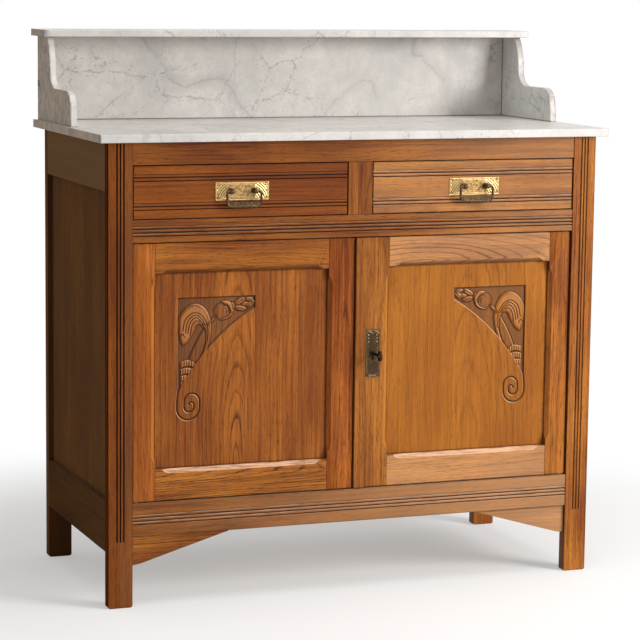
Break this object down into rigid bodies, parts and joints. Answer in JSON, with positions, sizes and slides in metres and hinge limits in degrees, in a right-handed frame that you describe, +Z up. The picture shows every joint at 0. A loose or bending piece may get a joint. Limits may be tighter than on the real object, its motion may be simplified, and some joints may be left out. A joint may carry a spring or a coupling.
{
  "type": "washstand",
  "caption": "Oak washstand: reeded frame-and-panel cupboard with drawers over carved doors, under a marble counter with a splash, ogee gables and a narrow shelf.",
  "frame": {"origin": "middle of the floor under the washstand, at the centre of its overall width and depth", "axes": "+Z up, +X to the right seen from the front, the front faces -Y"},
  "size_m": [1.012, 0.4954, 1.033],
  "materials": {
    "oak_polished": "waxed, open grain",
    "oak_inside": "bare, planed",
    "marble": "honed, worn polish",
    "bronze": "pressed, dark patina",
    "brass": "dull",
    "iron": "dark, filed"
  },
  "bodies": {
    "carcase": {"front_left_post": "oak_polished", "front_right_post": "oak_polished", "rear_left_post": "oak_polished", "rear_right_post": "oak_polished", "top_rail": "oak_polished", "drawer_stile": "oak_polished", "frieze_rail": "oak_polished", "base_rail": "oak_polished", "corner_brackets": "oak_polished", "left_side_rails": "oak_polished", "right_side_rails": "oak_polished", "left_side_panel": "oak_polished", "right_side_panel": "oak_polished", "back_rails": "oak_inside", "back_boards": "oak_inside", "cupboard_bottom": "oak_inside", "shelf_bearers": "oak_inside", "inner_shelf": "oak_inside", "drawer_runners": "oak_inside", "drawer_kickers": "oak_inside", "door_stop": "oak_inside", "pivot_sockets": "brass", "marble_counter": "marble", "marble_splash": "marble", "left_gable": "marble", "right_gable": "marble", "marble_shelf": "marble", "gable_cramps": "iron"},
    "left_door": {"left_hinge_stile": "oak_polished", "left_meeting_stile": "oak_polished", "left_door_top_rail": "oak_polished", "left_door_bottom_rail": "oak_polished", "left_door_panel": "oak_polished", "left_door_pivots": "brass", "lock_keeper": "brass", "bolt_guides": "iron"},
    "right_door": {"right_hinge_stile": "oak_polished", "right_meeting_stile": "oak_polished", "right_door_top_rail": "oak_polished", "right_door_bottom_rail": "oak_polished", "right_door_panel": "oak_polished", "right_door_pivots": "brass", "meeting_strip": "oak_polished", "escutcheon": "bronze", "lock_case": "iron"},
    "left_drawer": {"left_drawer_front": "oak_polished", "left_drawer_box": "oak_inside", "left_drawer_bottom": "oak_inside", "left_backplate": "brass", "left_bail_posts": "bronze"},
    "right_drawer": {"right_drawer_front": "oak_polished", "right_drawer_box": "oak_inside", "right_drawer_bottom": "oak_inside", "right_backplate": "brass", "right_bail_posts": "bronze"},
    "left_handle": {"left_bail": "bronze"},
    "right_handle": {"right_bail": "bronze"},
    "lock_key": {"key": "iron"},
    "lock_tongue": {"lock_bolt": "brass"},
    "surface_bolt": {"door_bolt": "iron"}
  },
  "joints": [
    {"name": "left_door_hinge", "type": "hinge", "parent": "carcase", "child": "left_door", "pos_m": [-0.4265, -0.20025, 0.4275], "axis": [0, 0, -1], "range_deg": [0, 100]},
    {"name": "right_door_hinge", "type": "hinge", "parent": "carcase", "child": "right_door", "pos_m": [0.4265, -0.20025, 0.4275], "axis": [0, 0, 1], "range_deg": [0, 100]},
    {"name": "left_drawer_slide", "type": "slide", "parent": "carcase", "child": "left_drawer", "axis": [0, -1, 0], "range_m": [0, 0.3]},
    {"name": "right_drawer_slide", "type": "slide", "parent": "carcase", "child": "right_drawer", "axis": [0, -1, 0], "range_m": [0, 0.3]},
    {"name": "left_bail_swing", "type": "hinge", "parent": "left_drawer", "child": "left_handle", "pos_m": [-0.2295, -0.22045, 0.754], "axis": [-1, 0, 0], "range_deg": [0, 90]},
    {"name": "right_bail_swing", "type": "hinge", "parent": "right_drawer", "child": "right_handle", "pos_m": [0.2295, -0.22045, 0.754], "axis": [-1, 0, 0], "range_deg": [0, 90]},
    {"name": "key_turn", "type": "hinge", "parent": "right_door", "child": "lock_key", "pos_m": [0.0308, -0.20475, 0.445], "axis": [0, -1, 0], "range_deg": [0, 180]},
    {"name": "lock_bolt_slide", "type": "slide", "parent": "right_door", "child": "lock_tongue", "axis": [-1, 0, 0], "range_m": [0, 0.009]},
    {"name": "door_bolt_slide", "type": "slide", "parent": "left_door", "child": "surface_bolt", "axis": [0, 0, 1], "range_m": [0, 0.01]}
  ],
  "couplings": [
    {"joint": "lock_bolt_slide", "follows": "key_turn", "m_per_rad": 0.002864}
  ]
}
